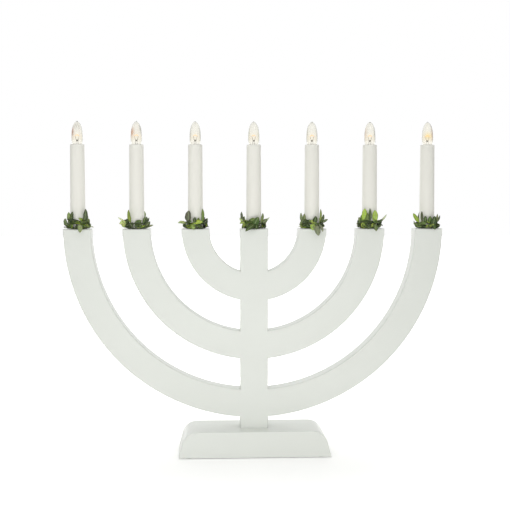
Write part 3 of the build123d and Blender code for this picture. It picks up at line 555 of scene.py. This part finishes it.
def line_tree():
    """Runs a round, slightly uneven twig or wire along every line of edges."""
    tree, given = new_tree("twigs_and_wires", Step="Float", Wander="Float", Finish="Material")
    thick = add(tree, "GeometryNodeInputNamedAttribute", {"Name": "thick"}, data_type="FLOAT")
    line = add(tree, "GeometryNodeMeshToCurve", {"Mesh": out(given, "Geometry")})
    line = add(tree, "GeometryNodeResampleCurve", {"Curve": line, "Length": out(given, "Step")},
               mode="LENGTH")
    knots = add(tree, "ShaderNodeTexNoise", {"Scale": 1 / (3 * mm), "Detail": 2.0})
    centred = add(tree, "ShaderNodeVectorMath", {0: out(knots, "Color"), 1: (0.5, 0.5, 0.5)},
                  operation="SUBTRACT")
    drift = add(tree, "ShaderNodeVectorMath", {0: centred, "Scale": out(given, "Wander")},
                operation="SCALE")
    line = add(tree, "GeometryNodeSetPosition", {"Geometry": line, "Offset": drift})
    swell = add(tree, "ShaderNodeMapRange", {"Value": out(knots, "Fac"), "From Min": 0.3,
                                             "From Max": 0.7, "To Min": 0.75, "To Max": 1.25})
    girth = add(tree, "ShaderNodeMath", {0: thick, 1: swell}, operation="MULTIPLY")
    ring = add(tree, "GeometryNodeCurvePrimitiveCircle", {"Resolution": 7, "Radius": 1.0})
    tube = add(tree, "GeometryNodeCurveToMesh", {"Curve": line, "Profile Curve": ring,
                                                 "Scale": girth, "Fill Caps": True})
    tube = add(tree, "GeometryNodeSetShadeSmooth", {"Geometry": tube, "Shade Smooth": True})
    tube = add(tree, "GeometryNodeRealizeInstances", {"Geometry": tube})
    tube = add(tree, "GeometryNodeSetMaterial", {"Geometry": tube,
                                                 "Material": out(given, "Finish")})
    add(tree, "NodeGroupOutput", {"Geometry": tube})
    return tree


def twig_point(centre, angle, twig):
    """Point on a twig ring at that angle in degrees."""
    turn = math.radians(angle)
    height = twig_seat + twig_radius + twig * twig_step
    return centre + Vector((twig_ring_radius * math.cos(turn), twig_ring_radius * math.sin(turn),
                            height))


def back_leaf_list(number):
    """Leaves of the sides and back, scattered from a fixed seed."""
    scatter = random.Random(number)
    tones = random.Random(100 + number)
    leaves = []
    for i in range(back_leaves):
        angle = 2 + 176 * i / (back_leaves - 1) + scatter.uniform(-6, 6)
        swing = math.radians(angle + scatter.uniform(-16, 16))
        reach = scatter.uniform(*back_reach)
        beside = min(angle, 180 - angle) < side_turn
        height = scatter.choice(side_heights if beside else back_heights) + scatter.uniform(-1, 2)
        leaves.append((angle, i % 2, reach * math.cos(swing), reach * math.sin(swing), height,
                       scatter.uniform(*back_widths), tones.choice(back_tones)))
    return leaves


def nest_leaf_list(number):
    """Leaves that lie along the hoops all round and hide them."""
    scatter = random.Random(200 + number)
    leaves = []
    for i in range(nest_leaves):
        angle = 360 * i / nest_leaves + scatter.uniform(-8, 8)
        way = scatter.choice([-1, 1])
        hanging = i % 5 < 2
        swing = way * scatter.uniform(*(hanging_swing if hanging else nest_swing))
        tip = math.radians(angle + swing)
        reach = scatter.uniform(*nest_reach)
        twig = 1 if hanging else i % 2
        height = scatter.uniform(3.0, 6.0) + twig * scatter.uniform(2.5, 7.5)
        if hanging:
            height = scatter.uniform(*hanging_heights)
        leaves.append((angle, twig, reach * math.cos(tip), reach * math.sin(tip), height,
                       scatter.uniform(*nest_widths), scatter.choice(nest_tones)))
    return leaves


def leaf_seeds(number, centre):
    """One point for each leaf of a ring, with all that its blade needs."""
    habit = random.Random(50 + number)
    facts = {key: [] for key in ("root", "aim", "face", "span", "spread", "arch", "twist", "tone")}
    reaching = front_leaves[number - 1] + back_leaf_list(number)
    nested = nest_leaf_list(number)
    for i, (angle, twig, right, back, up, width, tone) in enumerate(reaching + nested):
        root = twig_point(centre, angle, twig)
        tip = centre + Vector((right, back, up)) * mm
        aim = (tip - root).normalized()
        turn = math.radians(angle)
        outward = Vector((math.cos(turn), math.sin(turn), 0))
        steep = abs(aim.z) if i < len(reaching) else nest_steepness
        facing = outward * steep + Vector((0, 0, 1)) * (1 - steep)
        if i < len(front_leaves[number - 1]):
            # A front blade turns to the front where its lower edge clears the arm.
            room = min(1, max(0, (up - 0.6 * width) / 2))
            facing += Vector((0, -1, 0)) * front_turn * room
        facts["root"].append(root)
        facts["aim"].append(aim)
        facts["face"].append((facing - aim * facing.dot(aim)).normalized())
        facts["span"].append((tip - root).length)
        facts["spread"].append(width * mm)
        facts["arch"].append(habit.uniform(*leaf_arch))
        facts["twist"].append(habit.uniform(*leaf_twist))
        facts["tone"].append(linear(tone))
    return seed_mesh(f"leaf_seeds_{number}", facts["root"], [], facts)


def twig_seeds(number, centre):
    """Lines of the wreath's twigs: the twisted strands of each hoop, and the ties between hoops."""
    habit = random.Random(70 + number)
    points, edges, thick = [], [], []
    for twig in (0, 1):
        for strand in range(strands):
            first = len(points)
            phase = 2 * math.pi * strand / strands + habit.uniform(-0.3, 0.3)
            for i in range(strand_steps):
                share = i / strand_steps
                middle = twig_point(centre, 360 * share, twig)
                outward = (middle - centre).normalized()
                outward.z = 0
                coil = strand_twists * 2 * math.pi * share + phase
                points.append(middle + outward * (math.cos(coil) * strand_swing)
                              + Vector((0, 0, math.sin(coil) * strand_swing)))
                thick.append(habit.uniform(*strand_girth) * mm)
                edges.append((first + i, first + (i + 1) % strand_steps))
    for i in range(ties):
        angle = 360 * i / ties + 10 * number + habit.uniform(-12, 12)
        first = len(points)
        for j in range(tie_steps + 1):
            share = j / tie_steps
            low = twig_point(centre, angle + tie_lean * share, 0)
            points.append(low + Vector((0, 0, twig_step * share)))
            thick.append(tie_girth)
            if j:
                edges.append((first + j - 1, first + j))
    return seed_mesh(f"twig_seeds_{number}", points, edges, {"thick": thick})


blades_tree, lines_tree = leaf_tree(), line_tree()
for number in lamps:
    centre = Vector((lamp_x(number), 0, frame_top))
    blades = grown(f"leaves_{number}", blades_tree, leaf_seeds(number, centre), {
        "Thickness": leaf_thickness, "Stalk": leaf_stalk, "Cup": leaf_cup, "Finish": moulded_leaf})
    finished(f"wreath_leaves_{number}", blades, f"wreath_{number}", "leaf_plastic",
             f"leaf_ring_{number}")
    hoops = grown(f"twigs_{number}", lines_tree, twig_seeds(number, centre), {
        "Step": 0.8 * mm, "Wander": 0.35 * mm, "Finish": wrapped_twig})
    finished(f"wreath_twigs_{number}", hoops, f"wreath_{number}", "leaf_plastic",
             f"leaf_ring_{number}")


# ---- bulbs ----
# Outer line of the glass from its neck to its tip, and other heights in a bulb: millimetres over
# the cap's rim.
glass_outline = [(3.8, -6), (3.8, 0), (5.2, 3.6), (6.4, 7.6), (6.8, 12), (6.62, 18), (6.0, 23.6),
                 (5.05, 27.2), (3.7, 29.9), (1.9, 32.0), (0, 33.3)]
glass_wall = 0.6
glass_tip_wall = 1.0
glass_segments = 64
cap_segments = 48
bead_segments = 20
# Height and reach of the filament's glow painted on the glass, in millimetres over the cap's rim.
painted_glow_height = 14
painted_glow_reach = 5
lead_line = [(1.5, -7.5), (1.5, 1), (1.2, 7), (1.0, 10.2), (1.5, 12), (2.3, 15.5)]
lead_girth = 0.17 * mm
coil_turns = 16
coil_steps = 10
coil_radius = 0.28
coil_arch = 1.3
coil_girth = 0.09 * mm


def lathe(profile, x, segments, material):
    """A mesh turned about a candle's axis from (radius, height) points; zero radii close to poles."""
    shape = bmesh.new()
    rows = []
    for radius, height in profile:
        if radius < 1e-7:
            rows.append([shape.verts.new((x, 0, height))])
            continue
        rows.append([shape.verts.new((x + radius * math.cos(2 * math.pi * i / segments),
                                      radius * math.sin(2 * math.pi * i / segments), height))
                     for i in range(segments)])
    pairs = list(zip(rows, rows[1:]))
    if len(rows[0]) > 1 and len(rows[-1]) > 1:
        pairs.append((rows[-1], rows[0]))
    for low, high in pairs:
        if len(low) == len(high) == 1:
            continue
        for i in range(segments):
            j = (i + 1) % segments
            corners = [low[i % len(low)], low[j % len(low)], high[j % len(high)],
                       high[i % len(high)]]
            shape.faces.new(list(dict.fromkeys(corners)))
    bmesh.ops.recalc_face_normals(shape, faces=shape.faces)
    for face in shape.faces:
        face.smooth = True
    mesh = bpy.data.meshes.new("turned")
    shape.to_mesh(mesh)
    shape.free()
    mesh.materials.append(material)
    return mesh


def eased(points, steps):
    """Points along a smooth line through the given ones."""
    line = []
    ends = [points[0]] + points + [points[-1]]
    for a, b, c, d in zip(ends, ends[1:], ends[2:], ends[3:]):
        for i in range(steps):
            t = i / steps
            line.append(tuple(0.5 * (2 * q + (r - p) * t + (2 * p - 5 * q + 4 * r - s) * t * t
                                     + (3 * q - p - 3 * r + s) * t ** 3)
                              for p, q, r, s in zip(a, b, c, d)))
    return line + [points[-1]]


def glass_profile():
    """Outer and inner line of the clear bulb, from its neck up to its tip and back down."""
    inner = [(radius - glass_wall, up) for radius, up in glass_outline[:-1]]
    inner.append((0, glass_outline[-1][1] - glass_tip_wall))
    lines = []
    for side in (glass_outline, inner):
        lines.append([(max(r, 0) * mm, cap_high + up * mm) for r, up in eased(side, 5)])
    return lines[0] + lines[1][::-1]


def paint_light_on_glass(mesh, x, painted_spots):
    """Gives the glass its tint: clear, with the filament's glow painted round its height and patches of
    painted shade and painted glow on some sides.
    """
    layer = mesh.attributes.new("tint", "FLOAT_COLOR", "POINT")
    # clear is the glass's own tint; the warm colour is the filament's glow painted on it.
    clear, warm = Vector(linear("#F8F7F2")), Vector(linear("#FFFAEE"))
    for vertex, shade in zip(mesh.vertices, layer.data):
        side = math.degrees(math.atan2(vertex.co.y, vertex.co.x - x))
        up = (vertex.co.z - cap_high) / mm
        tint = clear.lerp(warm, 0.6 * math.exp(-((up - painted_glow_height) / painted_glow_reach) ** 2))
        # The spots lay grey painted shade and orange or cream painted glow over the glass.
        for angle, height, wide, tall, code, amount in painted_spots:
            turn = (side - angle + 180) % 360 - 180
            share = amount * math.exp(-(turn / wide) ** 2 - ((up - height) / tall) ** 2)
            tint = tint.lerp(Vector(linear(code)), share)
        shade.color = tint


def cap_tree():
    """Rolls the helical thread round the cap and joins it to the cap's shell."""
    tree, given = new_tree("screw_cap", Radius="Float", Rib="Float", Pitch="Float", Turns="Float",
                           Foot="Vector", Finish="Material")
    rise = add(tree, "ShaderNodeMath", {0: out(given, "Pitch"), 1: out(given, "Turns")},
               operation="MULTIPLY")
    path = add(tree, "GeometryNodeCurveSpiral", {
        "Resolution": 40, "Rotations": out(given, "Turns"), "Start Radius": out(given, "Radius"),
        "End Radius": out(given, "Radius"), "Height": rise})
    ring = add(tree, "GeometryNodeCurvePrimitiveCircle", {"Resolution": 8,
                                                          "Radius": out(given, "Rib")})
    rib = add(tree, "GeometryNodeCurveToMesh", {"Curve": path, "Profile Curve": ring,
                                                "Fill Caps": True})
    rib = add(tree, "GeometryNodeTransform", {"Geometry": rib, "Translation": out(given, "Foot")})
    joined = add(tree, "GeometryNodeJoinGeometry")
    tree.links.new(out(rib, "Geometry"), joined.inputs[0])
    tree.links.new(out(given, "Geometry"), joined.inputs[0])
    whole = add(tree, "GeometryNodeSetShadeSmooth", {"Geometry": joined, "Shade Smooth": True})
    whole = add(tree, "GeometryNodeRealizeInstances", {"Geometry": whole})
    whole = add(tree, "GeometryNodeSetMaterial", {"Geometry": whole,
                                                  "Material": out(given, "Finish")})
    add(tree, "NodeGroupOutput", {"Geometry": whole})
    return tree


def cap_shell(x):
    """Thin rolled shell of the screw cap with its rim and closed foot."""
    low, high = cap_low, cap_high
    outer = [(3.9, low), (4.15, low + 0.4 * mm), (4.25, low + 1.2 * mm), (4.25, high - 1.0 * mm),
             (4.5, high - 0.75 * mm), (4.7, high - 0.45 * mm), (4.7, high - 0.15 * mm),
             (4.55, high)]
    inner = [(4.25, high), (3.95, high - 0.8 * mm), (3.95, low + 0.6 * mm), (3.6, low + 0.3 * mm),
             (3.6, low)]
    return lathe([(radius * mm, z) for radius, z in outer + inner], x, cap_segments, cap_brass)


def lead_seeds(number, x):
    """Two leads from the pressed foot through the bead, spreading to the filament's ends."""
    points, edges, thick = [], [], []
    for side in (-1, 1):
        first = len(points)
        for right, up in lead_line:
            points.append(Vector((x + side * right * mm, 0, cap_high + up * mm)))
            thick.append(lead_girth)
        edges += [(i, i + 1) for i in range(first, len(points) - 1)]
    return seed_mesh(f"lead_seeds_{number}", points, edges, {"thick": thick})


def filament_seeds(number, x):
    """Fine coil hung in an arch between the ends of the leads."""
    points, edges, thick = [], [], []
    end, height = lead_line[-1]
    for i in range(coil_turns * coil_steps + 1):
        share = i / (coil_turns * coil_steps)
        coil = 2 * math.pi * i / coil_steps
        right = end * (2 * share - 1)
        up = height + coil_arch * math.sin(math.pi * share) + coil_radius * math.sin(coil)
        points.append(Vector((x + right * mm, coil_radius * math.cos(coil) * mm,
                              cap_high + up * mm)))
        thick.append(coil_girth)
        if i:
            edges.append((i - 1, i))
    return seed_mesh(f"filament_seeds_{number}", points, edges, {"thick": thick})


def mount_glass(x):
    """Pressed foot of the mount inside the cap, and the bead that spaces the leads."""
    foot = [(0, -7.6), (2.4, -7.6), (3.0, -7.3), (3.1, -6.7), (2.0, -6.1), (1.1, -5.0),
            (0.9, -2.0), (0.5, -1.2), (0, -1.1)]
    bead = [(0, 9.2), (0.9, 9.35), (1.35, 9.9), (1.4, 10.4), (1.0, 11.1), (0, 11.3)]
    shape = bmesh.new()
    for part in (foot, bead):
        line = [(max(r, 0) * mm, cap_high + up * mm) for r, up in eased(part, 3)]
        line[0], line[-1] = (0, line[0][1]), (0, line[-1][1])
        shape.from_mesh(lathe(line, x, bead_segments, bead_glass))
    mesh = bpy.data.meshes.new("mount_glass")
    shape.to_mesh(mesh)
    shape.free()
    mesh.materials.append(bead_glass)
    return mesh


# Light and shade painted inside the glass, bulb by bulb: the grey patches are painted shade, the orange
# and cream ones the filament's glow painted on the glass. Each gives side (degrees, -90 is the front),
# height over the cap and reach (millimetres), tint and depth.
painted_glow_and_shade_spots = [
    [(-160, 20, 34, 5, "#A8633C", 0.85), (-90, 27, 50, 3, "#C4C2BC", 0.5)],
    [(-150, 20, 34, 5, "#D0966E", 0.9), (-25, 24, 22, 5, "#9C9890", 0.7)],
    [(180, 19, 25, 9, "#B9B9B2", 0.7), (0, 19, 25, 9, "#B9B9B2", 0.7)],
    [(180, 18, 25, 8, "#C9C9B0", 0.7), (0, 18, 25, 8, "#C9C9B0", 0.7)],
    [(180, 19, 25, 8, "#C6C2B0", 0.7), (0, 19, 25, 8, "#BFBBB2", 0.7)],
    [(-165, 19, 30, 7, "#E3C7B0", 0.6), (-5, 20, 25, 8, "#8F8C86", 0.8)],
    [(-90, 16, 45, 4, "#FFE9A8", 0.7), (-10, 19, 28, 8, "#A9805E", 0.9),
     (-20, 28, 16, 4, "#77716A", 0.8)],
]
thread_tree = cap_tree()
for number, painted_spots in zip(lamps, painted_glow_and_shade_spots):
    x = lamp_x(number)
    body, cap_node = f"bulb_{number}", f"bulb_cap_{number}"
    glass = lathe(glass_profile(), x, glass_segments, blown_glass)
    paint_light_on_glass(glass, x, painted_spots)
    finished(f"blown_bulb_{number}", glass, body, "bulb_glass", f"bulb_glass_{number}")
    cap = grown(f"screw_cap_{number}", thread_tree, cap_shell(x), {
        "Radius": cap_radius, "Rib": thread_rib, "Pitch": thread_pitch, "Turns": thread_turns,
        "Foot": (x, 0, cap_low + thread_start), "Finish": cap_brass})
    finished(f"screw_cap_{number}", cap, body, "cap_brass", cap_node)
    leads = grown(f"leads_{number}", lines_tree, lead_seeds(number, x), {
        "Step": 0.5 * mm, "Wander": 0.05 * mm, "Finish": lead_wire})
    finished(f"leads_{number}", leads, body, "cap_brass", cap_node)
    coil = grown(f"filament_{number}", lines_tree, filament_seeds(number, x), {
        "Step": 0.12 * mm, "Wander": 0.0, "Finish": glowing_tungsten})
    finished(f"filament_{number}", coil, body, "cap_brass", cap_node)
    finished(f"mount_glass_{number}", mount_glass(x), body, "insulator", cap_node)


# ---- floor, backdrop and light ----
floor_size = 6.0
floor_lift = 0.28
shadow_fades_from = 0.14
white_from = 0.45
front_light = 0.36
back_light = 0.56
top_light = 0.42
mirrored_room = 0.45
# Directions, as the Y or Z of a unit vector, where each light sets in and where it is whole.
front_ends, back_from = -0.2, 0.45
top_from, top_full = 0.3, 0.9
mirrored_from, mirrored_full = 0.75, 0.92


def paper_finish():
    """Matt white paper sweep: white to the eye, but it keeps the shadow close to the base."""
    material, tree = new_material("white_paper_sweep")
    place = out(add(tree, "ShaderNodeTexCoord"), "Object")
    paper = add(tree, "ShaderNodeBsdfDiffuse", {
        "Color": two_tone(tree, place, "#F4F4F2", "#F1F1EF", 200 * mm)})
    ray = add(tree, "ShaderNodeLightPath")
    seen = add(tree, "ShaderNodeMath", {0: out(ray, "Is Camera Ray"),
                                        1: out(ray, "Is Glossy Ray")}, operation="MAXIMUM")
    seen = add(tree, "ShaderNodeMath", {0: seen, 1: out(ray, "Is Transmission Ray")},
               operation="MAXIMUM")
    away = add(tree, "ShaderNodeVectorMath", {0: place}, operation="LENGTH")
    far = add(tree, "ShaderNodeMapRange", {"Value": out(away, "Value"),
                                           "From Min": shadow_fades_from, "From Max": white_from,
                                           "To Min": floor_lift, "To Max": 1.0},
              interpolation_type="SMOOTHSTEP")
    glow = add(tree, "ShaderNodeEmission", {
        "Color": (1, 1, 1, 1), "Strength": add(tree, "ShaderNodeMath", {0: seen, 1: far},
                                               operation="MULTIPLY")})
    both = add(tree, "ShaderNodeAddShader", {0: paper, 1: glow})
    add(tree, "ShaderNodeOutputMaterial", {"Surface": both})
    return material


def paper_floor():
    """A wide level sheet under the base."""
    shape = bmesh.new()
    bmesh.ops.create_grid(shape, x_segments=8, y_segments=8, size=floor_size)
    mesh = bpy.data.meshes.new("paper_floor")
    shape.to_mesh(mesh)
    shape.free()
    mesh.materials.append(paper_finish())
    floor = bpy.data.objects.new("paper_floor", mesh)
    scene.collection.objects.link(floor)


def surround():
    """White to the eye all round; light on the object, and what glass and lacquer mirror, come
    mostly from the bright backdrop behind it."""
    world = bpy.data.worlds.new("studio")
    scene.world = world
    world.use_nodes = True
    tree = world.node_tree
    tree.nodes.clear()
    ray = add(tree, "ShaderNodeLightPath")
    way = add(tree, "ShaderNodeSeparateXYZ", {0: out(add(tree, "ShaderNodeTexCoord"), "Generated")})
    behind = add(tree, "ShaderNodeMapRange", {"Value": out(way, "Y"),
                                              "From Min": front_ends, "From Max": back_from},
                 interpolation_type="SMOOTHSTEP")
    lit = add(tree, "ShaderNodeMix", {"Factor": behind, "A": front_light, "B": back_light})
    above = add(tree, "ShaderNodeMapRange", {"Value": out(way, "Z"), "From Min": top_from,
                                             "From Max": top_full, "To Max": top_light})
    lit = add(tree, "ShaderNodeMath", {0: lit, 1: above}, operation="ADD")
    centre = add(tree, "ShaderNodeMapRange", {"Value": out(way, "Y"),
                                              "From Min": mirrored_from,
                                              "From Max": mirrored_full},
                 interpolation_type="SMOOTHSTEP")
    mirrored = add(tree, "ShaderNodeMix", {"Factor": centre, "A": mirrored_room, "B": 1.0})
    strength = add(tree, "ShaderNodeMix", {"Factor": out(ray, "Is Glossy Ray"), "A": lit,
                                           "B": mirrored})
    eye = add(tree, "ShaderNodeMath", {0: out(ray, "Is Camera Ray"),
                                       1: out(ray, "Is Transmission Ray")}, operation="MAXIMUM")
    strength = add(tree, "ShaderNodeMix", {"Factor": eye, "A": strength, "B": 1.0})
    shade = add(tree, "ShaderNodeBackground", {"Color": (1, 1, 1, 1), "Strength": strength})
    add(tree, "ShaderNodeOutputWorld", {"Surface": shade})


def soft_lamp(name, place, target, width, height, power):
    """A soft rectangular light aimed at a point, which nothing mirrors or shows."""
    data = bpy.data.lights.new(name, "AREA")
    data.shape, data.size, data.size_y, data.energy = "RECTANGLE", width, height, power
    lamp = bpy.data.objects.new(name, data)
    scene.collection.objects.link(lamp)
    lamp.location = place
    lamp.visible_camera = False
    lamp.visible_glossy = False
    lamp.visible_transmission = False
    lamp.rotation_euler = (Vector(target) - Vector(place)).to_track_quat("-Z", "Y").to_euler()


paper_floor()
surround()
soft_lamp("backdrop", (0, 0.55, 0.36), (0, 0, 0.36), 0.8, 0.7, 2.0)
soft_lamp("key", (-0.02, -0.75, 0.06), (0, 0, 0.12), 0.5, 0.3, 2.2)
soft_lamp("upper_left", (-0.3, -0.6, 0.6), (-0.1, 0, 0.25), 0.4, 0.4, 0.6)

# ---- camera: a little left of the middle, at the height of the candles, looking slightly down ----
camera_place = (-0.0694, -1.3368, 0.3195)
focal_length, film_width = 78.55, 36.0
pan, pitch = 0.053, 0.060
lens = bpy.data.cameras.new("camera")
lens.lens, lens.sensor_width = focal_length, film_width
camera = bpy.data.objects.new("camera", lens)
scene.collection.objects.link(camera)
camera.location = camera_place
sight = Vector((math.sin(pan) * math.cos(pitch), math.cos(pan) * math.cos(pitch),
                -math.sin(pitch)))
camera.rotation_euler = sight.to_track_quat("-Z", "Y").to_euler()
scene.camera = camera
